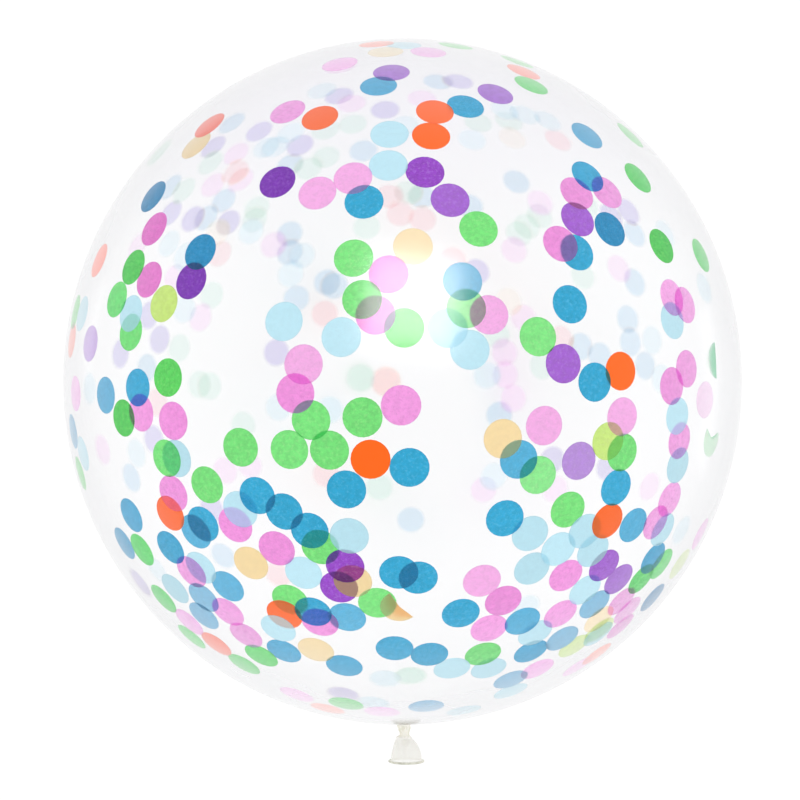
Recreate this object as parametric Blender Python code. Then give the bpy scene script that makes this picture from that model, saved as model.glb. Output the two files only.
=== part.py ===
"""A large clear confetti balloon, blown up, knotted and lying on its side.

Metres, +Z up. It is shaped as it hangs, neck down and front towards -Y, and then laid
on its back, so the neck ends up pointing to -Y and the front looks up.
The balloon is sealed, so its inside is solid. Only the tail beyond the knot is open.
"""

import math

import bmesh
import bpy
from mathutils import Matrix, Vector

# The inflated body, very slightly longer along the neck's axis than across.
BODY_RADIUS = 0.450
BODY_HALF_LENGTH = 0.455
SEGMENTS = 64
BODY_RINGS = 36

# The spot pressed flat where the balloon lies. It is on the back while the balloon hangs.
REST_SPOT_RADIUS = 0.045
REST_SPOT_SIDES = 32
REST_SPOT_MARGIN = 0.020  # the body's own points end at least this far outside the spot

# The neck. Depths are measured down from the body's lowest point.
NECK_LENGTH = 0.058
DRAW_IN_DEPTH = 0.011  # the film draws in to the throat over this depth
WAIST_TOP = 0.019  # the knot's waist, where a ribbon would be tied, is plain and straight
WAIST_FOOT = 0.021
SHOULDER_DEPTH = 0.025  # the open tail begins here
# The outline at some depths: depth, half width, shift to the right, oval (its depth over its width).
NECK_STATIONS = (
    (DRAW_IN_DEPTH, 0.0085, 0.0020, 1.00),
    (WAIST_TOP, 0.0066, 0.0025, 1.00),
    (WAIST_FOOT, 0.0066, 0.0025, 1.00),
    (SHOULDER_DEPTH, 0.0108, 0.0014, 0.95),
    (0.034, 0.0160, 0.0040, 0.86),
    (0.044, 0.0196, 0.0050, 0.80),
    (NECK_LENGTH, 0.0222, 0.0050, 0.78),
)
DRAW_IN_STEPS = 6
THROAT_STEPS = 4
SHOULDER_STEPS = 3
TAIL_STEPS = 7

# Creases: the throat is gathered and twisted, and the tail keeps a few soft folds.
THROAT_CREASES = 7
THROAT_CREASE_SHARE = 0.10
TWIST_PER_METRE = 70.0  # radians
TAIL_FOLDS = 5
TAIL_FOLD_SHARE = 0.035

# The tail's wall, its rolled lip, and the knot's blunt end inside it.
WALL = 0.0009
LIP_RADIUS = 0.0016
LIP_PROUD = 0.4  # the lip's centre stands this share of its radius outside the tail's skin
LIP_TURNS = (-60, -15, 30, 75, 105, 150, 180)  # degrees round the lip, flat between 75 and 105
HOLLOW_DEPTH = 0.028  # the hollow's floor, around the knot's end
KNOT_END_RADIUS = 0.0058
KNOT_END_DEPTH = 0.0375
KNOT_END_STEPS = 4


def clear_scene():
    for old in list(bpy.data.objects):
        bpy.data.objects.remove(old)


def latex_material():
    material = bpy.data.materials.new("clear latex")
    material.use_nodes = True
    shader = material.node_tree.nodes["Principled BSDF"]
    shader.inputs["Base Color"].default_value = (0.93, 0.93, 0.95, 1.0)
    shader.inputs["Roughness"].default_value = 0.25
    shader.inputs["Metallic"].default_value = 0.0
    shader.inputs["Alpha"].default_value = 0.30
    return material


def share_of(value, low, high):
    """How far value is on its way from low to high, from 0 to 1."""
    return min(1.0, max(0.0, (value - low) / (high - low)))


def eased(share):
    return share * share * (3 - 2 * share)


def steps_between(start, end, count):
    """Evenly spaced values after start, up to end."""
    return [start + (end - start) * step / count for step in range(1, count + 1)]


def rest_height():
    """How high the body's axis is above the surface that it lies on."""
    return math.sqrt(BODY_RADIUS**2 - REST_SPOT_RADIUS**2)


def neck_outline(depth):
    """(half width, shift, oval) of the neck's outline at this depth."""
    for above, below in zip(NECK_STATIONS, NECK_STATIONS[1:]):
        if depth <= below[0]:
            break
    # The tail's widths run on evenly. The throat and the shoulder curve in to the waist.
    share = share_of(depth, above[0], below[0])
    share = eased(share) if below[0] <= SHOULDER_DEPTH else share
    return tuple(a + (b - a) * share for a, b in zip(above[1:], below[1:]))


def crease_factor(angle, depth):
    """How far the creases swell or shrink the outline. The waist has none."""
    in_throat = eased(share_of(depth, 0, DRAW_IN_DEPTH))
    in_throat -= eased(share_of(depth, DRAW_IN_DEPTH, WAIST_TOP))
    in_tail = eased(share_of(depth, WAIST_FOOT, SHOULDER_DEPTH))
    in_tail -= eased(share_of(depth, SHOULDER_DEPTH, NECK_LENGTH))
    twisted = angle + TWIST_PER_METRE * depth
    throat = THROAT_CREASE_SHARE * in_throat * math.cos(THROAT_CREASES * twisted)
    tail = TAIL_FOLD_SHARE * in_tail * math.cos(TAIL_FOLDS * angle)
    return 1 + throat + tail


def neck_point(angle, depth, outward=0.0):
    """A point of the neck's skin at this angle round it, moved outward by that distance."""
    half_width, shift, oval = neck_outline(depth)
    half_width *= crease_factor(angle, depth)
    return Vector(
        (
            shift + (half_width + outward) * math.cos(angle),
            (half_width * oval + outward) * math.sin(angle),
            -BODY_HALF_LENGTH - depth,
        )
    )


def draw_in_point(angle, share, body_ring_radius, body_ring_height):
    """A point of the fillet that leads the film from the body's last ring into the throat."""
    on_ring = body_ring_radius * math.cos(angle), body_ring_radius * math.sin(angle)
    start = Vector((*on_ring, body_ring_height))
    end = neck_point(angle, DRAW_IN_DEPTH)
    # The first handle runs on along the body, and the second stands straight above the throat.
    along_body = Vector((start.x * 0.45, start.y * 0.45, -BODY_HALF_LENGTH - 0.0012))
    above_throat = Vector((end.x, end.y, -BODY_HALF_LENGTH - DRAW_IN_DEPTH * 0.25))
    rest = 1 - share
    return (
        start * rest**3
        + along_body * (3 * rest**2 * share)
        + above_throat * (3 * rest * share**2)
        + end * share**3
    )


def knot_end_point(angle, share):
    """A point of the knot's blunt end, from its root in the tail's hollow to its tip."""
    shift = neck_outline(HOLLOW_DEPTH)[1]
    radius = KNOT_END_RADIUS * math.cos(share * math.pi / 2)
    depth = HOLLOW_DEPTH + (KNOT_END_DEPTH - HOLLOW_DEPTH) * math.sin(share * math.pi / 2)
    across = shift + radius * math.cos(angle), radius * math.sin(angle)
    return Vector((*across, -BODY_HALF_LENGTH - depth))


def extrude_ring(bm, ring, place):
    """Extrudes an ordered open ring of vertices and puts each new one where place(angle) says."""
    edges = [bm.edges.get((a, b)) for a, b in zip(ring, ring[1:] + ring[:1])]
    made = bmesh.ops.extrude_edge_only(bm, edges=edges)["geom"]
    fresh = {item for item in made if isinstance(item, bmesh.types.BMVert)}
    neighbours = [[e.other_vert(v) for e in v.link_edges] for v in ring]
    new_ring = [next(v for v in around if v in fresh) for around in neighbours]
    for index, vertex in enumerate(new_ring):
        vertex.co = place(2 * math.pi * index / SEGMENTS)
    return new_ring


def add_body(bm):
    """The inflated body, open at its lowest point. Returns the open ring in order of angle."""
    made = bmesh.ops.create_uvsphere(bm, u_segments=SEGMENTS, v_segments=BODY_RINGS, radius=1.0)
    bmesh.ops.scale(bm, vec=(BODY_RADIUS, BODY_RADIUS, BODY_HALF_LENGTH), verts=made["verts"])
    lowest = min(made["verts"], key=lambda v: v.co.z)
    ring = [e.other_vert(lowest) for e in lowest.link_edges]
    half_step = math.pi / SEGMENTS
    ring.sort(key=lambda v: (math.atan2(v.co.y, v.co.x) + half_step) % (2 * math.pi))
    bmesh.ops.delete(bm, geom=[lowest], context="VERTS")
    return ring


def press_rest_spot(bm):
    """Takes the skin off around the lowest point of the back and fits a flat round spot there."""
    reach = REST_SPOT_RADIUS + REST_SPOT_MARGIN
    lost = [v for v in bm.verts if v.co.y > 0 and math.hypot(v.co.x, v.co.z) < reach]
    open_before = {e for e in bm.edges if e.is_boundary}
    bmesh.ops.delete(bm, geom=lost, context="VERTS")
    hole = [e for e in bm.edges if e.is_boundary and e not in open_before]
    turn = Matrix.Translation((0, rest_height(), 0)) @ Matrix.Rotation(math.radians(-90), 4, "X")
    spot = bmesh.ops.create_circle(
        bm, cap_ends=True, segments=REST_SPOT_SIDES, radius=REST_SPOT_RADIUS, matrix=turn
    )
    rim = {e for v in spot["verts"] for e in v.link_edges}
    bmesh.ops.bridge_loops(bm, edges=hole + list(rim))


def add_neck(bm, ring):
    """The throat, the knot, the open tail with its rolled lip, and the hollow inside the tail."""
    radius = ring[0].co.xy.length
    height = ring[0].co.z
    for share in steps_between(0, 1, DRAW_IN_STEPS):
        ring = extrude_ring(bm, ring, lambda a: draw_in_point(a, share, radius, height))

    lip_depth = NECK_LENGTH - LIP_RADIUS * math.sin(math.radians(75))
    tail_depths = steps_between(SHOULDER_DEPTH, lip_depth - LIP_RADIUS, TAIL_STEPS)
    depths = steps_between(DRAW_IN_DEPTH, WAIST_TOP, THROAT_STEPS) + [WAIST_FOOT]
    depths += steps_between(WAIST_FOOT, SHOULDER_DEPTH, SHOULDER_STEPS) + tail_depths
    for depth in depths:
        ring = extrude_ring(bm, ring, lambda a: neck_point(a, depth))

    for turn in map(math.radians, LIP_TURNS):
        outward = LIP_RADIUS * (LIP_PROUD + math.cos(turn))
        depth = lip_depth + LIP_RADIUS * math.sin(turn)
        ring = extrude_ring(bm, ring, lambda a: neck_point(a, depth, outward))

    for depth in tail_depths[-2:0:-1] + [HOLLOW_DEPTH + WALL]:
        ring = extrude_ring(bm, ring, lambda a: neck_point(a, depth, -WALL))
    for share in [0] + steps_between(0, 1, KNOT_END_STEPS)[:-1]:
        ring = extrude_ring(bm, ring, lambda a: knot_end_point(a, share))
    bmesh.ops.pointmerge(bm, verts=ring, merge_co=knot_end_point(0, 1))


def make_balloon():
    bm = bmesh.new()
    ring = add_body(bm)
    press_rest_spot(bm)
    add_neck(bm, ring)
    bmesh.ops.recalc_face_normals(bm, faces=bm.faces)
    mesh = bpy.data.meshes.new("balloon")
    bm.to_mesh(mesh)
    bm.free()
    mesh.shade_smooth()
    mesh.set_sharp_from_angle(angle=math.radians(40))
    mesh.materials.append(latex_material())
    balloon = bpy.data.objects.new("balloon", mesh)
    bpy.context.scene.collection.objects.link(balloon)
    # Laid on its back, with the middle of its length over the origin.
    balloon.rotation_euler = (math.radians(-90), 0, 0)
    balloon.location = (0, NECK_LENGTH / 2, rest_height())


clear_scene()
make_balloon()
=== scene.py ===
import math
import random

import bmesh
import bpy
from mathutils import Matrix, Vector


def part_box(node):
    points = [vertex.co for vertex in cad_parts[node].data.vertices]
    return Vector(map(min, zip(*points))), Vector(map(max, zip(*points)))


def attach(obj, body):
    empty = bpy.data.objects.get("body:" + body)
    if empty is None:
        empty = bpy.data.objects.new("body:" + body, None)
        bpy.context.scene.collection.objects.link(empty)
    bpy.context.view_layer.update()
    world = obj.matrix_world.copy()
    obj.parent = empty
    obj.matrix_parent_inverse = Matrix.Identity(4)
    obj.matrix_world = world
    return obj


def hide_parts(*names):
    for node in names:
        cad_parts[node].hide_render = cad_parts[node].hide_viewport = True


# A clear confetti balloon that lies on its back, neck towards -Y. Metres, degrees and +Z up.
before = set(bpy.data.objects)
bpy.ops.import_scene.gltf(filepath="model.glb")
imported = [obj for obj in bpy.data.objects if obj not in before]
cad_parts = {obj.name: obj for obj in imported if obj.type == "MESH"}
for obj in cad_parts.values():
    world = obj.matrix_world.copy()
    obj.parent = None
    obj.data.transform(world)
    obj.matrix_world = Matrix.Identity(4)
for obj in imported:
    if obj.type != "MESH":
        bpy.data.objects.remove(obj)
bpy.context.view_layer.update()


# Small tools

def selectOnly(*pieces):
    bpy.ops.object.select_all(action="DESELECT")
    for piece in pieces:
        piece.select_set(True)
    bpy.context.view_layer.objects.active = pieces[0]


def pickPoints(piece, isWanted):
    edit = bmesh.from_edit_mesh(piece.data)
    for point in edit.verts:
        point.select = isWanted(point.co)
    edit.select_flush_mode()
    bmesh.update_edit_mesh(piece.data)


def shareOf(value, low, high):
    return min(1.0, max(0.0, (value - low) / (high - low)))


def eased(share):
    return share * share * (3 - 2 * share)


def stepsAfter(start, end, count):
    return [start + (end - start) * step / count for step in range(1, count + 1)]


def addNode(tree, kind, inputs=None, **settings):
    node = tree.nodes.new(kind)
    for name, value in settings.items():
        setattr(node, name, value)
    for name, value in (inputs or {}).items():
        if isinstance(value, bpy.types.NodeSocket):
            tree.links.new(value, node.inputs[name])
        else:
            node.inputs[name].default_value = value
    return node


def calc(tree, operation, *values):
    return addNode(tree, "ShaderNodeMath", dict(enumerate(values)), operation=operation).outputs[0]


def ramp(tree, value, low, high, bottom=0.0, top=1.0):
    numbers = {"Value": value, "From Min": low, "From Max": high, "To Min": bottom, "To Max": top}
    return addNode(tree, "ShaderNodeMapRange", numbers, interpolation_type="SMOOTHSTEP").outputs[0]


def mixColours(tree, factor, first, second, blend="MIX"):
    inputs = {0: factor, 6: first, 7: second}
    return addNode(tree, "ShaderNodeMix", inputs, data_type="RGBA", blend_type=blend).outputs[2]


def mixShaders(tree, factor, first, second):
    return addNode(tree, "ShaderNodeMixShader", {0: factor, 1: first, 2: second}).outputs[0]


def noiseOver(tree, place, scale, detail=2.0, roughness=0.5):
    inputs = {"Vector": place, "Scale": scale, "Detail": detail, "Roughness": roughness}
    return addNode(tree, "ShaderNodeTexNoise", inputs).outputs["Fac"]


def newMaterial(name):
    material = bpy.data.materials.new(name)
    material.use_nodes = True
    material.node_tree.nodes.clear()
    return material, material.node_tree


def vectorCalc(tree, operation, first, second):
    inputs = {0: first, 1: second}
    return addNode(tree, "ShaderNodeVectorMath", inputs, operation=operation).outputs[0]


def lengthOf(tree, vector):
    return addNode(tree, "ShaderNodeVectorMath", {0: vector}, operation="LENGTH").outputs["Value"]


def facingOf(tree):
    # 0 where the surface faces the eye, 1 where it is seen edge on
    return addNode(tree, "ShaderNodeLayerWeight", {"Blend": 0.5}).outputs["Facing"]


def bsdf(tree, kind, colour=(1, 1, 1, 1)):
    return addNode(tree, "ShaderNodeBsdf" + kind, {"Color": colour}).outputs[0]


def bumpOf(tree, height, strength, distance):
    inputs = {"Height": height, "Strength": strength, "Distance": distance}
    return addNode(tree, "ShaderNodeBump", inputs).outputs[0]


def opaque(colour):
    return (*colour, 1.0)


# The body's own sizes, from the CAD

neckLength = 0.058
low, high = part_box("balloon")
bodyRadius = (high.x - low.x) / 2
halfLength = (high.y - low.y - neckLength) / 2
bodyCentre = Vector(((low.x + high.x) / 2, high.y - halfLength, high.z - bodyRadius))
bodyFoot = bodyCentre.y - halfLength


# The skin: body, neck, open tail and the knot's end in it, one closed surface

skinSettings = {
    "segments": 128,
    "rings": 72,
    "openedRadius": 0.030,   # the body's skin is cut away this far round the neck
    "spotInset": 0.006,
    # rings of points down each stretch of the neck, and over the knot's end
    "drawInSteps": 12,
    "throatSteps": 8,
    "waistSteps": 2,
    "shoulderSteps": 6,
    "tailSteps": 14,
    "knotSteps": 6,
    "drawInPull": (0.0012, 0.45),   # the draw-in's curve heads for this depth and this share of its radius
    # depths below the body
    "drawIn": 0.011,
    "waistTop": 0.019,
    "waistFoot": 0.021,
    "shoulder": 0.025,
    "hollowDepth": 0.028,
    "knotDepth": 0.0375,
    # depth, half width, shift to the right, depth of the oval over its width
    "stations": (
        (0.011, 0.0085, 0.0020, 1.00),
        (0.019, 0.0066, 0.0025, 1.00),
        (0.021, 0.0066, 0.0025, 1.00),
        (0.025, 0.0108, 0.0014, 0.95),
        (0.034, 0.0160, 0.0040, 0.86),
        (0.044, 0.0196, 0.0050, 0.80),
        (0.058, 0.0222, 0.0050, 0.78),
    ),
    "wall": 0.0009,
    "lipRadius": 0.0016,
    "lipProud": 0.4,
    "lipTurns": range(-60, 181, 20),
    "knotRadius": 0.0058,
    # creases: how many round the neck, how deep as a share of its radius, and where they begin
    "throatCreases": ((7, 0.085, 0.0), (11, 0.040, 1.3), (17, 0.018, 0.4)),
    "tailFolds": ((5, 0.034, 0.0), (8, 0.024, 0.9), (13, 0.010, 2.2)),
    "foldsLostAtLip": 0.8,
    "knotStrands": (3, 0.16),
    "twistPerMetre": 70.0,
    # gathers in the film round the neck: how many, how strong, and where they begin
    "gathers": ((13, 1.0, 0.0), (22, 0.5, 1.0)),
    "gatherDepth": 0.0002,
    "gatherReach": 0.090,
}


def neckOutline(depth):
    stations = skinSettings["stations"]
    for above, below in zip(stations, stations[1:]):
        if depth <= below[0]:
            break
    share = shareOf(depth, above[0], below[0])
    share = eased(share) if below[0] <= skinSettings["shoulder"] else share
    return [a + (b - a) * share for a, b in zip(above[1:], below[1:])]


def neckProfile(startRadius, startDepth):
    # depth and radius of each ring: down the outside, round the lip and up the inside to the knot's end
    s = skinSettings
    width = lambda depth: neckOutline(depth)[0]
    throat = width(s["drawIn"])
    profile = []
    pullDepth, pullShare = s["drawInPull"]
    for share in stepsAfter(0, 1, s["drawInSteps"]):
        rest = 1 - share
        weights = (rest**3, 3 * rest**2 * share, 3 * rest * share**2, share**3)
        depths = (startDepth, pullDepth, s["drawIn"] / 4, s["drawIn"])
        radii = (startRadius, startRadius * pullShare, throat, throat)
        profile.append([sum(w * v for w, v in zip(weights, values)) for values in (depths, radii)])

    lipDepth = neckLength - s["lipRadius"]
    outside = stepsAfter(s["drawIn"], s["waistTop"], s["throatSteps"])
    outside += stepsAfter(s["waistTop"], s["waistFoot"], s["waistSteps"])
    outside += stepsAfter(s["waistFoot"], s["shoulder"], s["shoulderSteps"])
    tail = stepsAfter(s["shoulder"], lipDepth - s["lipRadius"], s["tailSteps"])
    profile += [(depth, width(depth)) for depth in outside + tail]
    for turn in s["lipTurns"]:
        depth = lipDepth + s["lipRadius"] * math.sin(math.radians(turn))
        outward = s["lipRadius"] * (s["lipProud"] + math.cos(math.radians(turn)))
        profile.append((depth, width(depth) + outward))
    inside = [depth for depth in tail[-2::-1] if depth > s["hollowDepth"] + s["wall"]]
    profile += [(depth, width(depth) - s["wall"]) for depth in inside + [s["hollowDepth"] + s["wall"]]]
    for share in [0] + stepsAfter(0, 1, s["knotSteps"]):
        depth = s["hollowDepth"] + (s["knotDepth"] - s["hollowDepth"]) * math.sin(share * math.pi / 2)
        profile.append((depth, s["knotRadius"] * math.cos(share * math.pi / 2)))
    return profile


def addNeck(skin):
    # The open ring at the body's foot is selected. Each step extrudes it and sets its place and size.
    ring = [v.co.copy() for v in bmesh.from_edit_mesh(skin.data).verts if v.select]
    radius = max(p.x for p in ring)
    depth = bodyFoot - ring[0].y
    shift, oval = 0.0, 1.0
    profile = neckProfile(radius, depth)
    for nextDepth, nextRadius in profile[:-1]:
        toThroat = shareOf(nextDepth, 0, skinSettings["drawIn"])
        _, stationShift, nextOval = neckOutline(nextDepth)
        nextShift = stationShift * toThroat
        move = (nextShift - shift, depth - nextDepth, 0)
        bpy.ops.mesh.extrude_region_move(TRANSFORM_OT_translate={"value": move})
        grow = nextRadius / radius
        middle = (nextShift, bodyFoot - nextDepth, bodyCentre.z)
        bpy.ops.transform.resize(value=(grow, 1, grow * nextOval / oval), center_override=middle)
        depth, radius, shift, oval = nextDepth, nextRadius, nextShift, nextOval
    bpy.ops.mesh.extrude_region_move(TRANSFORM_OT_translate={"value": (0, depth - profile[-1][0], 0)})
    bpy.ops.mesh.merge(type="CENTER")


def creaseFactor(angle, depth, radius):
    s = skinSettings
    isKnot = radius < s["knotRadius"] * 1.05 and depth > s["hollowDepth"] - 0.0001
    if isKnot:
        strands, share = s["knotStrands"]
        return 1 + share * math.cos(strands * (angle + 2 * s["twistPerMetre"] * depth))
    inThroat = eased(shareOf(depth, 0, s["drawIn"])) - eased(shareOf(depth, s["drawIn"], s["waistTop"]))
    inTail = eased(shareOf(depth, s["waistFoot"], s["shoulder"]))
    inTail -= s["foldsLostAtLip"] * eased(shareOf(depth, s["shoulder"], neckLength))
    factor = 1.0
    for count, share, start in s["throatCreases"]:
        factor += inThroat * share * math.cos(count * (angle + s["twistPerMetre"] * depth) + start)
    for count, share, start in s["tailFolds"]:
        factor += inTail * share * math.cos(count * angle + start)
    return factor


def creaseNeck(skin):
    s = skinSettings
    reach = s["gatherReach"]
    for vertex in skin.data.vertices:
        place = vertex.co
        depth = bodyFoot - place.y
        fromAxis = math.hypot(place.x, place.z - bodyCentre.z)
        toThroat = shareOf(depth, 0, s["drawIn"])
        if depth > 0:
            shift = neckOutline(depth)[1] * toThroat
            angle = math.atan2(bodyCentre.z - place.z, place.x - shift)
            radius = math.hypot(place.x - shift, place.z - bodyCentre.z)
            factor = creaseFactor(angle, depth, radius)
            place.x = shift + (place.x - shift) * factor
            place.z = bodyCentre.z + (place.z - bodyCentre.z) * factor
        if place.y < bodyCentre.y and fromAxis < reach and depth < s["drawIn"]:
            angle = math.atan2(bodyCentre.z - place.z, place.x)
            fade = eased(1 - fromAxis / reach) * eased(1 - toThroat)
            wave = sum(share * math.cos(count * angle + start) for count, share, start in s["gathers"])
            place.y -= s["gatherDepth"] * fade * wave


def makeSkin():
    s = skinSettings
    bpy.ops.object.select_all(action="DESELECT")
    bpy.ops.mesh.primitive_uv_sphere_add(segments=s["segments"], ring_count=s["rings"], radius=1.0)
    skin = bpy.context.object
    skin.name = skin.data.name = "balloonSkin"
    bpy.ops.object.mode_set(mode="EDIT")
    bpy.ops.mesh.select_all(action="SELECT")
    bpy.ops.transform.rotate(value=math.radians(90), orient_axis="X", center_override=(0, 0, 0))
    bpy.ops.transform.resize(value=(bodyRadius, halfLength, bodyRadius), center_override=(0, 0, 0))
    bpy.ops.transform.translate(value=bodyCentre)

    # the flat spot that the balloon lies on
    bpy.ops.mesh.bisect(plane_co=(0, 0, low.z), plane_no=(0, 0, 1), clear_inner=True, use_fill=True)
    pickPoints(skin, lambda p: p.z < low.z + 1e-5)
    bpy.ops.mesh.inset(thickness=s["spotInset"])
    for point in bmesh.from_edit_mesh(skin.data).verts:
        point.co.z = max(point.co.z, low.z)

    # the foot is opened, and the neck grows out of it
    axis = Vector((0, 0, bodyCentre.z))
    isFoot = lambda p: p.y < bodyCentre.y and math.hypot(p.x, p.z - axis.z) < s["openedRadius"]
    pickPoints(skin, isFoot)
    bpy.ops.mesh.delete(type="VERT")
    bpy.ops.mesh.select_all(action="DESELECT")
    bpy.ops.mesh.select_non_manifold()
    addNeck(skin)
    bpy.ops.mesh.select_all(action="SELECT")
    bpy.ops.mesh.normals_make_consistent(inside=False)
    bpy.ops.object.mode_set(mode="OBJECT")
    creaseNeck(skin)
    selectOnly(skin)
    bpy.ops.object.shade_smooth()
    skin.data.materials.append(makeLatex())
    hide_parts("balloon")
    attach(skin, "root")
    print("skin made,", len(skin.data.polygons), "faces")


# Latex: a clear film on the body, cream where the neck gathers it

latexSettings = {
    # Where each look begins and is full: depths below the body's foot, or reaches from the neck's axis
    "nearFoot": (-0.020, 0.000),
    "gatheredReach": (0.050, 0.010),
    "dullReach": (0.090, 0.035),        # the puckered film mirrors less and less towards the neck
    "creamFrom": (0.0035, 0.0100),
    "tailFrom": (0.021, 0.027),
    "lipFrom": (neckLength - 0.0034, neckLength - 0.0026),
    "knotReach": (0.0088, 0.0070),
    "knotFrom": (0.0262, 0.0275),
    "milkyFrom": (-0.21, 0.0),
    "crownFrom": (-1.35 * halfLength, -1.85 * halfLength),
    # The film
    "straightReflection": 0.030,
    "gloss": 0.20,
    "film": (0.980, 0.981, 0.983),
    "filmAtRim": (0.80, 0.80, 0.81),
    "crown": (0.960, 0.954, 0.972),     # the film is darker and more lavender towards the crown
    "bloom": (0.83, 0.83, 0.84),        # its faint milky haze
    "bloomFacing": 0.002,
    "bloomAtRim": 0.22,
    "bloomRim": (0.56, 0.78),           # how far it turns away where the rim's haze begins and is full
    "bloomAtNeck": 0.20,
    "cloudScale": 7.0,
    "clouds": (0.75, 1.25),             # the haze's thinnest and thickest
    # Gathered latex
    "creamFilm": 0.12,                  # how cream the film is where it is gathered
    "stub": (0.96, 0.94, 0.86),
    # painted shade in the stub's creases
    "stubCreaseShade": (0.80, 0.78, 0.66),
    "tail": (0.99, 0.99, 0.97),
    "lip": (0.76, 0.76, 0.67),
    "lipDark": (0.56, 0.56, 0.47),
    "knot": (0.95, 0.94, 0.88),
    "grain": (0.45, 0.44, 0.36),
    "grainShare": 0.08,
    "grainScale": 420.0,
    "blotchScale": 150.0,
    "creaseShadeScale": 360.0,
    "creaseShadeStretch": (1, 0.16, 1),      # the painted crease shade runs lengthways
    "roughness": 0.42,
    "lightThrough": 0.45,
    "neckCover": 0.90,
    "tailCover": 0.48,
    "lipCover": 0.85,
    # What light passes on its way in and out
    "filmPasses": (0.97, 0.97, 0.97),
    "neckPasses": (0.82, 0.81, 0.77),
}


def makeLatex():
    s = latexSettings
    material, tree = newMaterial("clearLatex")
    place = addNode(tree, "ShaderNodeTexCoord").outputs["Object"]
    backfacing = addNode(tree, "ShaderNodeNewGeometry").outputs["Backfacing"]
    isCamera = addNode(tree, "ShaderNodeLightPath").outputs["Is Camera Ray"]

    # masks by place: how far the film is gathered, and the tail, lip and knot's end
    placeY = addNode(tree, "ShaderNodeSeparateXYZ", {0: place}).outputs["Y"]
    depth = calc(tree, "SUBTRACT", bodyFoot, placeY)
    axis = (skinSettings["stations"][-1][2], 0, bodyCentre.z)
    across = vectorCalc(tree, "SUBTRACT", place, axis)
    fromAxis = lengthOf(tree, vectorCalc(tree, "MULTIPLY", across, (1, 0, 1)))
    nearFoot = ramp(tree, depth, *s["nearFoot"])
    gathered = calc(tree, "MULTIPLY", ramp(tree, fromAxis, *s["gatheredReach"]), nearFoot)
    inNeck = ramp(tree, depth, *s["creamFrom"])
    mask = calc(tree, "MAXIMUM", calc(tree, "MULTIPLY", gathered, s["creamFilm"]), inNeck)
    inTail = ramp(tree, depth, *s["tailFrom"])
    inLip = ramp(tree, depth, *s["lipFrom"])
    inKnot = ramp(tree, fromAxis, *s["knotReach"])
    inKnot = calc(tree, "MULTIPLY", inKnot, ramp(tree, depth, *s["knotFrom"]))

    # the film mirrors like clear plastic on its outside, but not where it is puckered round the neck
    facing = facingOf(tree)
    straight = s["straightReflection"]
    mirror = calc(tree, "MULTIPLY_ADD", calc(tree, "POWER", facing, 5.0), 1 - straight, straight)
    mirror = calc(tree, "MULTIPLY", mirror, calc(tree, "SUBTRACT", 1.0, backfacing))
    puckered = calc(tree, "MULTIPLY", ramp(tree, fromAxis, *s["dullReach"]), nearFoot)
    mirror = calc(tree, "MULTIPLY", mirror, calc(tree, "SUBTRACT", 1.0, puckered))

    # it is clear face on, and milky at the rim and towards the neck
    cloud = ramp(tree, noiseOver(tree, place, s["cloudScale"], 3.0), 0.30, 0.70, *s["clouds"])
    towardsNeck = ramp(tree, depth, *s["milkyFrom"])
    milky = calc(tree, "MULTIPLY_ADD", towardsNeck, s["bloomAtNeck"], s["bloomFacing"])
    milky = calc(tree, "ADD", milky, ramp(tree, facing, *s["bloomRim"], 0.0, s["bloomAtRim"]))
    milky = calc(tree, "MULTIPLY", milky, cloud)
    tint = mixColours(tree, calc(tree, "POWER", facing, 3.5), opaque(s["film"]), opaque(s["filmAtRim"]))
    notRim = calc(tree, "SUBTRACT", 1.0, calc(tree, "POWER", facing, 3.0))
    # the film seen face on is darker and more lavender towards the crown
    darkerToCrown = calc(tree, "MULTIPLY", ramp(tree, depth, *s["crownFrom"]), notRim)
    tint = mixColours(tree, darkerToCrown, tint, opaque(s["crown"]), "MULTIPLY")
    haze = bsdf(tree, "Diffuse", opaque(s["bloom"]))
    film = mixShaders(tree, milky, bsdf(tree, "Transparent", tint), haze)
    gloss = addNode(tree, "ShaderNodeBsdfGlossy", {"Color": (1, 1, 1, 1), "Roughness": s["gloss"]})
    film = mixShaders(tree, mirror, film, gloss.outputs[0])

    # gathered latex: cream with painted crease shade on the stub, a little see-through in the tail
    grain = noiseOver(tree, place, s["grainScale"], 4.0, 0.6)
    blotch = noiseOver(tree, place, s["blotchScale"])
    lengthways = vectorCalc(tree, "MULTIPLY", place, s["creaseShadeStretch"])
    # painted shade: darker lengthways streaks on the stub stand for shade in its creases
    paintedCreaseShade = ramp(tree, noiseOver(tree, lengthways, s["creaseShadeScale"]), 0.42, 0.62)
    stub = mixColours(tree, paintedCreaseShade, opaque(s["stub"]), opaque(s["stubCreaseShade"]))
    lip = mixColours(tree, ramp(tree, blotch, 0.42, 0.62), opaque(s["lip"]), opaque(s["lipDark"]))
    colour = mixColours(tree, inTail, stub, opaque(s["tail"]))
    colour = mixColours(tree, inKnot, colour, opaque(s["knot"]))
    colour = mixColours(tree, inLip, colour, lip)
    speckle = ramp(tree, grain, 0.2, 0.8, 0.0, s["grainShare"])
    colour = mixColours(tree, speckle, colour, opaque(s["grain"]), "MULTIPLY")
    look = {
        "Base Color": colour,
        "Roughness": s["roughness"],
        "Specular IOR Level": 0.35,
        "Normal": bumpOf(tree, grain, 0.25, 0.0006),
    }
    lit = addNode(tree, "ShaderNodeBsdfPrincipled", look).outputs[0]
    body = mixShaders(tree, s["lightThrough"], lit, bsdf(tree, "Translucent", colour))
    cover = mixColours(tree, inTail, opaque([s["neckCover"]] * 3), opaque([s["tailCover"]] * 3))
    ends = calc(tree, "MULTIPLY", calc(tree, "MAXIMUM", inLip, inKnot), s["lipCover"])
    cover = calc(tree, "MAXIMUM", cover, ends)
    gatheredLatex = mixShaders(tree, cover, bsdf(tree, "Transparent"), body)

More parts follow.
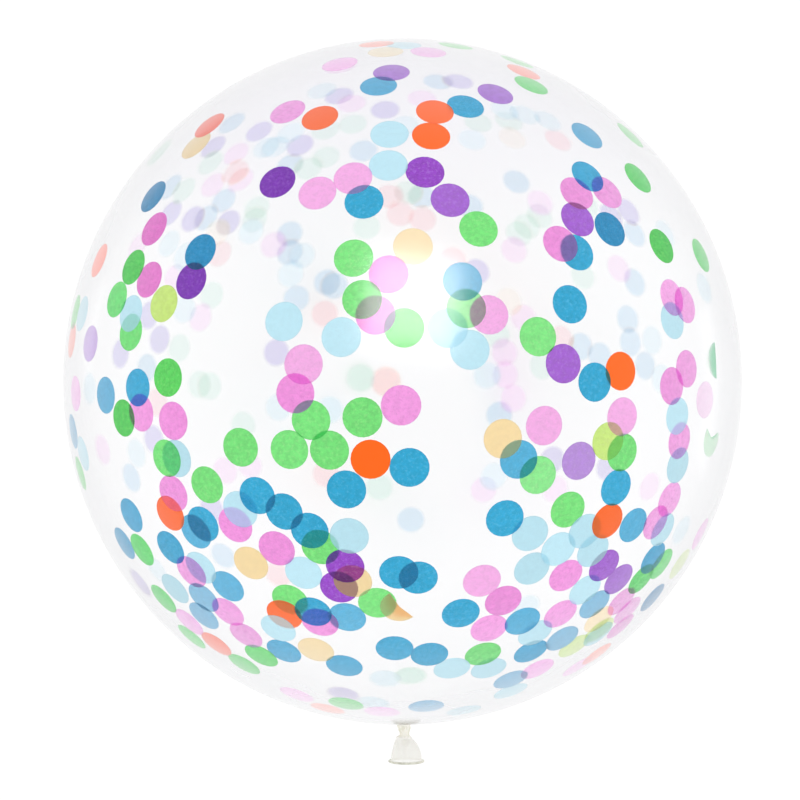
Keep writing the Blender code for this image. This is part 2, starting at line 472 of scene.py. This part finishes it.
    # light passes nearly unhindered, so only the camera's own rays see the surface
    passing = mixColours(tree, mask, opaque(s["filmPasses"]), opaque(s["neckPasses"]))
    seen = mixShaders(tree, mask, film, gatheredLatex)
    surface = mixShaders(tree, isCamera, bsdf(tree, "Transparent", passing), seen)
    addNode(tree, "ShaderNodeOutputMaterial", {"Surface": surface})
    return material


# Confetti: round tissue paper discs that cling to the film's inside

confettiSettings = {
    "radius": 0.0222,
    "step": 0.041,           # from disc to disc in a drift, at a pace of 1
    "thickness": 0.00008,
    "sides": 24,
    "filmGap": 0.0006,
    "layerGap": 0.00025,
    "foldGap": 0.0006,       # a folded part stands off by this much, and by foldRise for each metre
    "foldRise": 0.25,
    "stretch": 1.004,        # the near film is stretched this much more lengthways
    "farFrom": 90,           # discs further round than this are on the far side
    "farGrowth": 1.12,       # a far disc is laid this much larger, for its soft edge
    "tones": {"+": -2.0, "++": -2.5, "-": 1.25},
    "seed": 30,
    "roughness": 0.75,
    "slant": (0.25, 0.75),   # how far a disc turns away where its painted wash and shade begins and is full
    "edge": (0.55, 0.55, 0.60),
    "edgeFrom": 0.93,        # shares of the disc's radius
    "edgeShade": 0.22,
    "inwardFullTo": 0.70,
    "inwardMottle": 0.3,
}

# Each paper: its slot, its colour, the colour of the light that it lets through, its flecks, how mottled
# it is, how much of its look is light from behind, its inward side, as a faint cover, and its colour when
# it is seen at a slant, a painted wash and shade.
papers = {
    "blue": {
        "slot": "paper_blue", "colour": (0.035, 0.44, 0.72), "passing": (0.03, 0.33, 0.46),
        "flecks": (0.15, 0.66, 0.92), "mottle": 0.60, "lightThrough": 0.88,
        "inward": (0.10, 0.50, 0.82), "inwardCover": 0.25,
        "slantWashAndShade": (0.10, 0.40, 0.64),
    },
    "green": {
        "slot": "paper_green", "colour": (0.21, 0.86, 0.22), "passing": (0.12, 0.62, 0.32),
        "flecks": (0.44, 0.95, 0.34), "mottle": 0.65, "lightThrough": 0.88,
        "inward": (0.15, 0.74, 0.50), "inwardCover": 0.15,
        "slantWashAndShade": (0.12, 0.70, 0.18),
    },
    "pink": {
        "slot": "paper_pink", "colour": (0.97, 0.33, 0.79), "passing": (0.86, 0.20, 0.76),
        "flecks": (0.72, 0.11, 0.56), "mottle": 0.50, "lightThrough": 0.85,
        "inward": (0.98, 0.36, 0.92), "inwardCover": 0.19,
        "slantWashAndShade": (0.97, 0.58, 0.89),
    },
    "purple": {
        "slot": "paper_purple", "colour": (0.35, 0.070, 0.64), "passing": (0.22, 0.08, 0.26),
        "flecks": (0.54, 0.25, 0.80), "mottle": 0.75, "lightThrough": 0.85,
        "inward": (0.24, 0.14, 0.74), "inwardCover": 0.28,
        "slantWashAndShade": (0.52, 0.34, 0.72),
    },
    "orange": {
        "slot": "paper_orange", "colour": (1.00, 0.135, 0.000), "passing": (0.95, 0.18, 0.03),
        "flecks": (1.00, 0.20, 0.01), "mottle": 0.01, "lightThrough": 0.50,
        "inward": (1.00, 0.10, 0.22), "inwardCover": 0.16,
        "slantWashAndShade": (1.00, 0.33, 0.27),
    },
    "lightBlue": {
        "slot": "paper_light_blue", "colour": (0.50, 0.785, 0.88), "passing": (0.36, 0.68, 0.80),
        "flecks": (0.66, 0.90, 0.98), "mottle": 0.20, "lightThrough": 0.55,
        "inward": (0.54, 0.85, 0.98), "inwardCover": 0.25,
        "slantWashAndShade": (0.50, 0.74, 0.82),
    },
    "apricot": {
        "slot": "paper_apricot", "colour": (1.00, 0.77, 0.40), "passing": (0.92, 0.55, 0.28),
        "flecks": (1.00, 0.84, 0.54), "mottle": 0.20, "lightThrough": 0.80,
        "inward": (1.00, 0.82, 0.62), "inwardCover": 0.20,
        "slantWashAndShade": (1.00, 0.88, 0.66),
    },
    "lime": {
        "slot": "paper_lime", "colour": (0.62, 0.87, 0.19), "passing": (0.50, 0.75, 0.18),
        "flecks": (0.76, 0.92, 0.40), "mottle": 0.45, "lightThrough": 0.85,
        "inward": (0.62, 0.88, 0.48), "inwardCover": 0.20,
        "slantWashAndShade": (0.78, 0.90, 0.52),
    },
}

# The confetti lies in short drifts. Each begins at an angle round the neck's axis (0 on top, + to the
# right) and up from the widest ring (+ towards the crown). It runs on at a heading, clockwise from the
# crown, that may turn at each disc. The pace is how many steps it is from disc to disc, and the colours
# are in order, with a + on a deeper one and a - on a paler one; under the soft box's highlight a - is a
# painted highlight.
drifts = (
    # crown
    (-46, 43, 175, 0, 0.86, "orange+ apricot+"),
    (-19, 58, 0, 0, 1, "pink"),
    (-12, 69, 0, 0, 1, "orange"),
    (-6, 63, 0, 0, 1, "apricot"),
    (0.5, 67.5, 0, 0, 1, "lightBlue"),
    (9, 63, 0, 0, 1, "pink"),
    (25, 69, 0, 0, 1, "green"),
    (46, 63, 0, 0, 1, "green"),
    (-3, 54, 201, 0, 0.86, "purple blue"),
    (-25, 44, 109, 0, 1.18, "pink orange"),
    (6.5, 43, 190, 0, 1.03, "orange orange"),
    (13.3, 44.6, 58, 0, 1.36, "blue purple"),
    (35, 52.3, 24, 0, 1.09, "green orange"),
    (40, 40, 0, 0, 1, "blue"),
    (60, 42.6, 0, 0, 1, "green"),
    # upper left
    (-50, 29, 146, 0, 1.38, "blue+ pink++"),
    (-21.5, 29.5, 0, 0, 1, "purple+"),
    (-14, 27.3, 64, 0, 1.07, "pink- pink-"),
    (-6.2, 25.7, 0, 0, 1, "blue"),
    (-48, 17, 209, 0, 1.07, "green+ green"),
    (-43, 14.8, 132, 0, 1.09, "pink+ lime"),
    (-46.2, 9.8, 170, 0, 0.55, "lightBlue green"),
    (-33, 18.6, 189, 0, 0.85, "blue+ purple+"),
    (-7.3, 16.9, 167, 0, 1.18, "green green"),
    (-3.9, 8.7, 114, 0, 0.84, "pink green"),
    # painted highlight: the apricot here is laid paler where the soft box's highlight lies on it
    (-2.1, 14.5, 40, 0, 1.03, "pink apricot-"),
    (-17.2, 7.9, 105, 0, 1.67, "lightBlue lightBlue"),
    (-2.5, 38, 180, 0, 1.15, "lightBlue lightBlue"),
    # upper right
    (3.7, 30.8, 146, -5, 1.12, "purple purple green"),
    # painted highlight: the blue and green here are laid paler where the soft box's highlight lies on them
    (8.6, 13.5, 174, 50, 0.74, "blue- green- lightBlue"),
    (9.4, 3.9, 0, 0, 1, "lightBlue"),
    # painted highlight: this pink is laid paler at the edge of the soft box's highlight
    (12.3, 8.8, 0, 0, 1, "pink-"),
    (34.2, 31.3, 225, -30, 0.88, "blue pink purple"),
    (37.3, 28.7, 197, 0, 1.28, "pink blue+"),
    (24.8, 19.5, 115, 0, 0.54, "pink blue"),
    (25, 10.5, 0, 0, 1, "blue"),
    (48.3, 32.3, 0, 0, 1, "green"),
    (46.6, 20.3, 0, 0, 1, "green+"),
    (46, 12.2, 107, 0, 0.65, "pink pink"),
    (45.3, 8.7, 0, 0, 1, "lightBlue"),
    (60, 19.7, 0, 0, 1, "green"),
    # left rim
    (-62, 19, 0, 0, 1, "orange"),
    (-64, 10.5, 0, 0, 1, "lightBlue"),
    (-69.5, 11, 174, 0, 0.88, "green orange"),
    (-58, 5.6, 0, 0, 1, "purple-"),
    (-64.5, -2, 0, 0, 1, "pink"),
    (-68.5, -8, 130, 0, 1.03, "blue lightBlue"),
    (-69.5, -14.8, 0, 0, 1, "green"),
    # middle left
    (-36.7, 0.2, 173, 0, 1.20, "green+ pink"),
    (-52, -2.3, 125, 0, 1.13, "blue green+"),
    (-43.3, -1.2, 172, 0, 0.71, "blue pink"),
    (-38.1, -11.5, 90, 0, 0.38, "green lightBlue"),
    (-38.1, -16.8, 209, 0, 0.70, "pink orange"),
    (-22.3, -16.7, 121, 8, 0.87, "blue blue blue"),
    (-30.9, -15.3, 125, 0, 1.19, "green lightBlue"),
    (-27.1, -21.3, 120, 0, 1.36, "pink pink"),
    (-33.3, -21.4, 235, 0, 0.44, "blue blue"),
    (-14.1, 1.9, 197, 0, 0.80, "pink- pink"),
    (-13.1, -5.8, 149, 0, 0.94, "green green"),
    (-24.2, -9.7, 92, 0, 1.45, "green green"),
    (-5.7, -5.4, 73, 0, 1.08, "green pink"),
    (-8.3, -15.6, 39, 63, 1.07, "blue orange blue"),
    # middle right
    (48, 1.6, 236, 0, 0.88, "pink pink"),
    (46, -5.4, 161, 8, 0.74, "lightBlue pink lightBlue"),
    (48, -18.2, 207, 0, 0.78, "pink pink"),
    (49, -23.2, 0, 0, 1, "lightBlue"),
    (19.5, 5.8, 134, 0, 1.03, "green purple"),
    (28.6, -0.5, 0, 0, 1, "blue"),
    (33.3, 1.1, 0, 0, 1, "orange"),
    (33.8, -5.4, 213, 0, 0.80, "pink- lime"),
    (34.5, -10.6, 181, 1, 1.00, "green blue orange"),
    (40.4, -22, 0, 0, 1, "blue"),
    (14.3, -8.4, 139, -13, 0.75, "apricot blue green"),
    (20.5, -6.6, 0, 0, 1, "pink-"),
    (26.7, -11.7, 0, 0, 1, "purple-"),
    (15.6, -20, 120, 0, 0.95, "blue lightBlue"),
    (67, -25, 0, 0, 1, "pink"),
    # lower left
    (-50.7, -20.8, 189, 0, 1.14, "blue green"),
    (-57.8, -26, 0, 0, 1, "blue"),
    (-42.6, -25.7, 148, 33, 0.92, "blue pink blue- blue-"),
    (-37, -28.9, 128, 0, 0.96, "lightBlue blue"),
    (-35.4, -37.1, 169, 9, 0.95, "pink pink green"),
    (-47, -33.4, 0, 0, 1, "lightBlue"),
    (-54, -36, 145, 4, 1.05, "green pink orange green"),
    (-55.5, -44.5, 0, 0, 1, "green"),
    (-8.3, -22.6, 0, 0, 1, "lightBlue"),
    (-9.4, -27.5, 0, 0, 1, "purple"),
    (-13.1, -24.5, 0, 0, 1, "green"),
    (-8.4, -30.1, 0, 0, 1, "apricot"),
    (-10.9, -31.2, 0, 0, 1, "purple"),
    (-4.5, -34, 0, 0, 1, "green"),
    (-25.9, -27.5, 0, 0, 1, "apricot"),
    (-16.7, -28.9, 0, 0, 1, "lightBlue"),
    (-16.5, -35.9, 163, 0, 0.42, "blue pink"),
    (-25, -39.7, 33, 0, 0.68, "lightBlue orange"),
    (-20.4, -33.8, 0, 0, 1, "green"),
    (-26.7, -45.2, 0, 0, 1, "blue"),
    (-10.3, -36.9, 0, 0, 1, "blue"),
    (-18.5, -44.1, 136, 0, 1.02, "apricot blue"),
    # lower right
    (-0.7, -28.5, 108, 0, 0.57, "blue blue"),
    (-1.7, -43.3, 106, 27, 1.06, "blue blue lightBlue"),
    (17.4, -45.2, 151, 0, 0.87, "green lightBlue"),
    (30.2, -22.5, 235, -6, 0.92, "lightBlue lightBlue lightBlue"),
    (33, -25.8, 0, 0, 1, "lightBlue"),
    (36.8, -28.6, 121, 0, 1.06, "purple purple"),
    (26.1, -19, 0, 0, 1, "green"),
    (49.9, -28.2, 185, 0, 0.73, "blue green"),
    (54.3, -29.6, 94, 0, 1.45, "green lime"),
    (34.7, -32.9, 130, 5, 0.94, "lightBlue blue- apricot lightBlue"),
    (29.1, -30, 0, 0, 1, "pink"),
    (31.5, -37.4, 150, 0, 1.17, "pink blue-"),
    (23.2, -38.1, 131, 33, 0.90, "blue lightBlue blue"),
    (35, -50.4, 235, 0, 0.87, "pink blue-"),
    (13.3, -30.1, 133, 58, 1.06, "pink- pink pink"),
    (10.5, -36, 0, 0, 1, "blue"),
    (47.3, -36.2, 120, 27, 0.90, "pink pink pink+"),
    (46.8, -42.3, 225, 0, 0.92, "lime lime"),
    (55.7, -48.8, 212, 0, 0.7, "orange pink"),
    (59.3, -36.3, 0, 0, 1, "blue+"),
    # round the neck
    (-34.7, -58.8, 0, 0, 1, "pink"),
    (-18.9, -61, 0, 0, 1, "green"),
    (-29.6, -64.6, 0, 0, 1, "orange"),
    (-7.7, -64.5, 0, 0, 1, "pink"),
    (7.8, -61.5, 0, 0, 1, "blue"),
    (24, -65, 0, 0, 1, "lightBlue"),
    (33.8, -57.5, 0, 0, 1, "lightBlue"),
)

# The discs on the far side lie one by one, around and up as above.
farDiscs = {
    "blue": (
        (246, 54), (249, 38), (228, 37), (231, 33), (207, 31), (206, 27), (203, 17.5), (196.5, 21),
        (194.8, 20.3), (213, 46.5), (192, 51), (159, 71.5), (148.5, 42.5), (163, 37.5), (125, 19.5),
        (129, 12.5), (129, 8), (141.5, 7.5), (137, 5.5), (125.5, 3.5), (159.7, -6), (178, -28),
        (226.5, -34.5), (246.5, -17.5), (238, 3), (175, 40), (120, 29),
    ),
    "purple": (
        (231, 53.5), (244, 48), (213, 51.5), (210, 66), (187, 62.5), (224, 32.5), (235, 32.5), (239, 13),
        (235, 8.5), (206.5, 6.5), (163.5, 23.2), (125, 33), (118.5, 33.5), (246.5, 5.5), (237, -10.5),
        (147.3, -15), (133.5, -16), (222, -74), (243, 33), (147, 71), (225, -24.5), (266, -37),
    ),
    "green": (
        (240, 44.5), (243, 38), (203, 49), (207, 46), (198, 58), (207, 56), (178.5, 41), (152, 58),
        (140, 57.5), (217.5, 36), (217, 33.5), (223, 17.5), (229.5, 7), (188.5, 33), (145.5, 34.5),
        (149.5, 32.5), (152, 31), (138.5, 21.5), (160, 10), (224, 0), (221.5, -0.3),
        (214, -8), (185, -21), (150.5, 3.8), (131, 36), (176, -68.5), (270, 43),
    ),
    "pink": (
        (233, 47.5), (234, 40), (226, 42), (202, 64), (230, 75.5), (171, 66), (144, 37.5), (210.5, 28.5),
        (225, 13), (234, 20.5), (249.5, 25.5), (154, 27.5), (154, 13.5), (158.5, 6.5), (158.5, 2),
        (156.7, -2.7), (213.5, -16), (219.5, -17), (162, -21.4), (145.5, -21), (128.5, 22.5),
        (120.5, -19.5), (255, -12),
    ),
    "orange": (
        (229, 43.5), (183.5, 40), (180.5, 36), (175, 34.8), (223.5, 26), (196.5, 14.5), (168.5, 25.8),
        (146, 9), (196.5, -18.3), (213, -39.5), (127, 51), (235, -3.5),
    ),
    "lightBlue": (
        (224, 50), (221, 50.5), (221, 67), (179, 58), (219, 54.5), (138, 60.5), (157, 53.5), (217, 31),
        (233, 25), (203, 26.5), (205, 22.5), (229.5, 14.5), (239, 27), (123, 8.3), (206, -4.5), (195, -5),
        (162.5, 2), (243, -13), (160, -18.5), (143, -47), (102.5, -27), (189, -69.5), (209, -79),
        (124, 56), (131, 58.5), (121, 1), (258, -1), (109, 28), (101, 17), (252, -35.5),
    ),
    "apricot": ((226, 30), (157, 17), (143, 53)),
}

# Discs that fell folded: place, turn of the crease, how far it is from the middle, tone (0 by chance, 1
# full colour and 2 white), and paper.
foldedDiscs = (
    (-0.6, -34.7, 40, 0.004, 0, "apricot"),
    (57.5, -9.0, 80, 0.012, 1.6, "green"),
    (57.7, 3.0, 0, 0.001, 1.84, "green"),
)

# Discs laid paler: place, tone, and paper.
paleDiscs = (
    (53.7, -3, 1.55, "pink"),
    (183.3, 0.7, 1.45, "orange"),
    (188.7, 1.5, 1.40, "green"),
)


def outwardAt(around, up):
    a, u = math.radians(around), math.radians(up)
    return Vector((math.cos(u) * math.sin(a), math.sin(u), math.cos(u) * math.cos(a)))


def underFilm(direction, depth):
    # the point this far inside the film in a direction from the body's centre, above the flat spot
    sizes = Vector((bodyRadius, halfLength, bodyRadius))
    unit = Vector([d / s for d, s in zip(direction, sizes)]).normalized()
    point = bodyCentre + Vector([u * (s - depth) for u, s in zip(unit, sizes)])
    point.z = max(point.z, low.z + depth)
    return point


def discsOfDrift(around, up, heading, turn, pace, colours):
    s = confettiSettings
    step = math.degrees(s["step"] / bodyRadius) * pace
    for colour in colours.split():
        name = colour.rstrip("+-")
        yield around, up * s["stretch"], name, s["tones"].get(colour.removeprefix(name), 0)
        way = math.radians(heading)
        around += step * math.sin(way) / math.cos(math.radians(up))
        up += step * math.cos(way)
        heading += turn


tissueSettings = {
    "cloudScale": 170.0,
    "cloudShade": 0.10,      # how much lighter and darker, as a share
    "fibreScale": 620.0,
    "fibreShade": 0.09,
    "toneShade": 0.06,       # for a whole tone
    "fleckScale": 300.0,
    "fleckCover": 0.55,
    "wornCover": 0.16,
    "white": (0.95, 0.95, 0.95),
}


def makeTissueGroup():
    # mottled fibres of tissue paper, as a colour and a height
    s = tissueSettings
    group = bpy.data.node_groups.new("tissueFibres", "ShaderNodeTree")
    inputs = {"Place": "Vector", "Colour": "Color", "Flecks": "Color", "Mottle": "Float", "Tone": "Float"}
    outputs = {"Colour": "Color", "Height": "Float"}
    for way, sockets in (("INPUT", inputs), ("OUTPUT", outputs)):
        for name, kind in sockets.items():
            group.interface.new_socket(name=name, in_out=way, socket_type="NodeSocket" + kind)
    given = addNode(group, "NodeGroupInput").outputs
    plain, mottle, tone = given["Colour"], given["Mottle"], given["Tone"]
    cloud = noiseOver(group, given["Place"], s["cloudScale"])
    fibre = noiseOver(group, given["Place"], s["fibreScale"], 3.0, 0.65)
    flecks = noiseOver(group, given["Place"], s["fleckScale"])

    # light and dark: broad clouds, fine fibres, and the disc's own tone
    fineShade = ramp(group, fibre, 0.25, 0.75, -s["fibreShade"], s["fibreShade"])
    broadShade = ramp(group, cloud, 0.30, 0.70, -s["cloudShade"], s["cloudShade"])
    shade = calc(group, "ADD", broadShade, fineShade)
    ownShade = calc(group, "MULTIPLY_ADD", tone, s["toneShade"], 1.0)
    shade = calc(group, "MULTIPLY_ADD", shade, mottle, ownShade)
    shaded = addNode(group, "ShaderNodeVectorMath", {0: plain, "Scale": shade}, operation="SCALE")
    fleckCover = ramp(group, flecks, 0.50, 0.72, 0.0, s["fleckCover"])
    fleckCover = calc(group, "MULTIPLY", fleckCover, mottle)
    colour = mixColours(group, fleckCover, shaded.outputs[0], given["Flecks"])

    # a deeper tone is dyed twice, and a paler one fades to white
    colour = mixColours(group, ramp(group, tone, -1.0, -3.0), colour, plain, "MULTIPLY")
    worn = calc(group, "MULTIPLY", ramp(group, tone, 0.1, 1.0, 0.0, s["wornCover"]), mottle)
    colour = mixColours(group, worn, colour, opaque(s["white"]))
    colour = mixColours(group, ramp(group, tone, 1.0, 2.0), colour, opaque(s["white"]))
    addNode(group, "NodeGroupOutput", {"Colour": colour, "Height": fibre})
    return group


def paperColour(tree, group, colour, flecks, mottle):
    inputs = {
        "Place": addNode(tree, "ShaderNodeTexCoord").outputs["Object"],
        "Tone": addNode(tree, "ShaderNodeAttribute", attribute_name="tone").outputs["Fac"],
        "Colour": colour,
        "Flecks": opaque(flecks),
        "Mottle": mottle,
    }
    fibres = addNode(tree, "ShaderNodeGroup", inputs, node_tree=group)
    return fibres.outputs["Colour"], fibres.outputs["Height"]


def fromMiddle(tree):
    # 0 in the middle of a disc and 1 at its edge
    uv = addNode(tree, "ShaderNodeTexCoord").outputs["UV"]
    centred = vectorCalc(tree, "SUBTRACT", uv, (0.5, 0.5, 0.0))
    return calc(tree, "MULTIPLY", lengthOf(tree, centred), 2.0)


def makePaperFront(name, group):
    # the side against the film, in its full colour
    s, p = confettiSettings, papers[name]
    material, tree = newMaterial(name + "Paper")
    backfacing = addNode(tree, "ShaderNodeNewGeometry").outputs["Backfacing"]
    isCamera = addNode(tree, "ShaderNodeLightPath").outputs["Is Camera Ray"]
    # painted wash and shade: seen at a slant, each disc turns to its slanted colour, paler for some papers
    # and duller for others
    slant = ramp(tree, facingOf(tree), *s["slant"])
    shown = mixColours(tree, slant, opaque(p["colour"]), opaque(p["slantWashAndShade"]))
    shown, height = paperColour(tree, group, shown, p["flecks"], p["mottle"])
    edge = ramp(tree, fromMiddle(tree), s["edgeFrom"], 1.0, 0.0, s["edgeShade"])
    shown = mixColours(tree, edge, shown, opaque(s["edge"]), "MULTIPLY")
    look = {
        "Base Color": shown,
        "Roughness": s["roughness"],
        "Specular IOR Level": 0.2,
        "Normal": bumpOf(tree, height, 0.3, 0.0003),
    }
    lit = addNode(tree, "ShaderNodeBsdfPrincipled", look).outputs[0]
    paper = mixShaders(tree, p["lightThrough"], lit, bsdf(tree, "Translucent", shown))
    seen = mixShaders(tree, backfacing, paper, bsdf(tree, "Transparent"))
    tinted = bsdf(tree, "Transparent", opaque(p["passing"]))
    addNode(tree, "ShaderNodeOutputMaterial", {"Surface": mixShaders(tree, isCamera, tinted, seen)})
    return material


def makePaperBack(name, group):
    # the side towards the middle of the balloon, washed out by the white light in there
    s, p = confettiSettings, papers[name]
    material, tree = newMaterial(name + "PaperInside")
    backfacing = addNode(tree, "ShaderNodeNewGeometry").outputs["Backfacing"]
    isCamera = addNode(tree, "ShaderNodeLightPath").outputs["Is Camera Ray"]
    shown, _ = paperColour(tree, group, opaque(p["inward"]), p["inward"], s["inwardMottle"])
    clear = bsdf(tree, "Transparent")
    cover = ramp(tree, fromMiddle(tree), 1.0, s["inwardFullTo"], 0.0, p["inwardCover"])
    paper = mixShaders(tree, cover, clear, bsdf(tree, "Diffuse", shown))
    seen = mixShaders(tree, backfacing, paper, clear)
    addNode(tree, "ShaderNodeOutputMaterial", {"Surface": mixShaders(tree, isCamera, clear, seen)})
    return material


def makeDiscPattern():
    # one thin round disc, outward side up, which every other disc is a copy of
    s = confettiSettings
    bpy.ops.object.select_all(action="DESELECT")
    bpy.ops.mesh.primitive_cylinder_add(
        vertices=s["sides"], radius=s["radius"], depth=s["thickness"], end_fill_type="TRIFAN"
    )
    pattern = bpy.context.object
    mesh = pattern.data
    for face in mesh.polygons:
        face.material_index = 1 if face.normal.z < -0.5 else 0
    for loop in mesh.loops:
        place = mesh.vertices[loop.vertex_index].co / (2 * s["radius"])
        mesh.uv_layers[0].data[loop.index].uv = (place.x + 0.5, place.y + 0.5)
    return pattern


def layDisc(pattern, around, up, layer, spin, tone, growth, fold):
    s = confettiSettings
    mesh = pattern.data.copy()
    outward = outwardAt(around, up)
    right = Vector((0, 1, 0)).cross(outward).normalized()
    crown = outward.cross(right)
    middle = Vector([o * size for o, size in zip(outward, (bodyRadius, halfLength, bodyRadius))])
    for vertex in mesh.vertices:
        flat = vertex.co.copy()
        depth = s["filmGap"] + layer * s["layerGap"] - flat.z
        x = (flat.x * math.cos(spin) - flat.y * math.sin(spin)) * growth
        y = (flat.x * math.sin(spin) + flat.y * math.cos(spin)) * growth
        if fold:
            x, y, depth = folded(x, y, depth, *fold)
        vertex.co = underFilm(middle + right * x + crown * y, depth)
    tones = mesh.attributes.new("tone", "FLOAT", "POINT")
    tones.data.foreach_set("value", [tone] * len(mesh.vertices))
    return mesh


def folded(x, y, depth, turn, crease):
    # The part beyond the crease is turned over it and comes to lie on the disc's inward side.
    way = math.radians(turn)
    beyond = x * math.cos(way) + y * math.sin(way) - crease
    if beyond > 0:
        x -= 2 * beyond * math.cos(way)
        y -= 2 * beyond * math.sin(way)
        depth += confettiSettings["foldGap"] + confettiSettings["foldRise"] * beyond
    return x, y, depth


def makeConfetti():
    s = confettiSettings
    chance = random.Random(s["seed"])
    pattern = makeDiscPattern()
    group = makeTissueGroup()
    laid = []
    sheets = {name: [] for name in papers}
    materials = {name: (makePaperFront(name, group), makePaperBack(name, group)) for name in papers}

    # the first discs lie against the film, and each later one under those that it meets
    places = [(around, up, name, tone, fold) for around, up, *fold, tone, name in foldedDiscs]
    places += [(around, up, name, tone, None) for around, up, tone, name in paleDiscs]
    places += [(*disc, None) for drift in drifts for disc in discsOfDrift(*drift)]
    places += [(*place, name, 0, None) for name, discs in farDiscs.items() for place in discs]
    reach = math.cos(2 * s["radius"] / bodyRadius)
    for around, up, name, tone, fold in places:
        growth = s["farGrowth"] if around > s["farFrom"] else 1.0
        outward = outwardAt(around, up)
        above = [layer for other, layer in laid if other.dot(outward) > reach]
        layer = max(above, default=-1) + 1
        laid.append((outward, layer))
        spin = chance.uniform(0, 2 * math.pi)
        ownTone = chance.uniform(-1, 1)
        mesh = layDisc(pattern, around, up, layer, spin, tone or ownTone, growth, fold)
        for material in materials[name]:
            mesh.materials.append(material)
        disc = bpy.data.objects.new(name, mesh)
        bpy.context.scene.collection.objects.link(disc)
        sheets[name].append(disc)
    bpy.data.objects.remove(pattern)

    for name, discs in sheets.items():
        selectOnly(*discs)
        bpy.ops.object.join()
        joined = bpy.context.object
        joined.name = joined.data.name = name + "Confetti"
        bpy.ops.object.shade_smooth_by_angle(angle=math.radians(40))
        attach(joined, "root")
    print("confetti laid,", len(laid), "discs, up to", max(layer for _, layer in laid) + 1, "deep")


# Floor, light and camera

viewSettings = {
    "height": 2.765,
    "across": (-0.0034, 0.0050),
    "lens": 77.2,
    "paperWhite": 1.25,      # the white of the room, as the camera and the paper see it
    "glossWhite": 0.94,      # its walls, as the film mirrors them
    "glossCeiling": 0.10,    # and its ceiling
    "ceilingFrom": 0.9,      # the height of a direction where the ceiling begins
    "floorSize": 16.0,
    "floorGap": 0.0004,      # the film rests this far above the floor
    "floorBase": 0.20,
    "floorGlow": 0.82,
    "floorInGloss": 0.76,    # and as the film mirrors it
    "boxSize": (1.18, 1.20),
    "boxDistance": 2.60,
    "boxLean": 22.5,         # from straight up towards the crown
    "boxTurn": 3.0,          # and to the right
    "boxRadiance": 15.0,
    "stripHeight": 0.01,
    "strips": (              # name, across, along, width, length, radiance
        ("stripLeft", -1.32, 0.25, 0.20, 0.42, 0.7),
        ("stripRight", 1.58, 0.0, 0.55, 0.80, 0.7),
    ),
}


def makeFloor():
    s = viewSettings
    bpy.ops.object.select_all(action="DESELECT")
    bpy.ops.mesh.primitive_plane_add(size=s["floorSize"], location=(0, 0, low.z - s["floorGap"]))
    floor = bpy.context.object
    floor.name = "studioFloor"
    material, tree = newMaterial("paleFloor")
    isGlossy = addNode(tree, "ShaderNodeLightPath").outputs["Is Glossy Ray"]
    glow = {0: isGlossy, 2: s["floorGlow"], 3: s["floorInGloss"]}
    look = {
        "Base Color": opaque([s["floorBase"]] * 3),
        "Roughness": 0.9,
        "Specular IOR Level": 0.0,
        "Emission Color": (1, 1, 1, 1),
        "Emission Strength": addNode(tree, "ShaderNodeMix", glow).outputs[0],
    }
    surface = addNode(tree, "ShaderNodeBsdfPrincipled", look).outputs[0]
    addNode(tree, "ShaderNodeOutputMaterial", {"Surface": surface})
    floor.data.materials.append(material)


def makeRoomLight():
    s = viewSettings
    world = bpy.data.worlds.new("whiteRoom")
    bpy.context.scene.world = world
    world.use_nodes = True
    tree = world.node_tree
    tree.nodes.clear()
    isGlossy = addNode(tree, "ShaderNodeLightPath").outputs["Is Glossy Ray"]
    direction = addNode(tree, "ShaderNodeTexCoord").outputs["Generated"]
    height = addNode(tree, "ShaderNodeSeparateXYZ", {0: direction}).outputs["Z"]
    mirrored = ramp(tree, height, 0.0, s["ceilingFrom"], s["glossWhite"], s["glossCeiling"])
    strength = addNode(tree, "ShaderNodeMix", {0: isGlossy, 2: s["paperWhite"], 3: mirrored}).outputs[0]
    sky = addNode(tree, "ShaderNodeBackground", {"Color": (1, 1, 1, 1), "Strength": strength})
    addNode(tree, "ShaderNodeOutputWorld", {"Surface": sky.outputs[0]})

    # a soft box above, and a strip light lying on the floor at each side
    lean, turn = math.radians(s["boxLean"]), math.radians(s["boxTurn"])
    way = Vector((math.sin(turn) * math.cos(lean), math.sin(lean), math.cos(turn) * math.cos(lean)))
    addGlossLight("softBox", bodyCentre + way * s["boxDistance"], way, s["boxSize"], s["boxRadiance"])
    for name, across, along, width, length, radiance in s["strips"]:
        place = Vector((across, along, low.z + s["stripHeight"]))
        addGlossLight(name, place, Vector((0, 0, -1)), (width, length), radiance)


def addGlossLight(name, place, away, size, radiance):
    # It shows only in what is glossy, and the white room lights the rest evenly.
    bpy.ops.object.light_add(type="AREA", location=place)
    light = bpy.context.object
    light.name = name
    light.data.shape = "RECTANGLE"
    light.data.size, light.data.size_y = size
    light.data.energy = radiance * math.pi * size[0] * size[1]
    light.rotation_euler = (-away).to_track_quat("-Z", "Y").to_euler()
    light.visible_camera = False
    light.visible_diffuse = False
    light.visible_transmission = False


def makeCamera():
    s = viewSettings
    bpy.ops.object.camera_add(location=(*s["across"], s["height"]), rotation=(0, 0, 0))
    camera = bpy.context.object
    camera.data.sensor_width = 36.0
    camera.data.lens = s["lens"]
    bpy.context.scene.camera = camera
    bpy.context.scene.view_settings.view_transform = "Standard"
    bpy.context.scene.cycles.transparent_max_bounces = 64


makeCamera()
makeFloor()
makeRoomLight()
makeSkin()
makeConfetti()
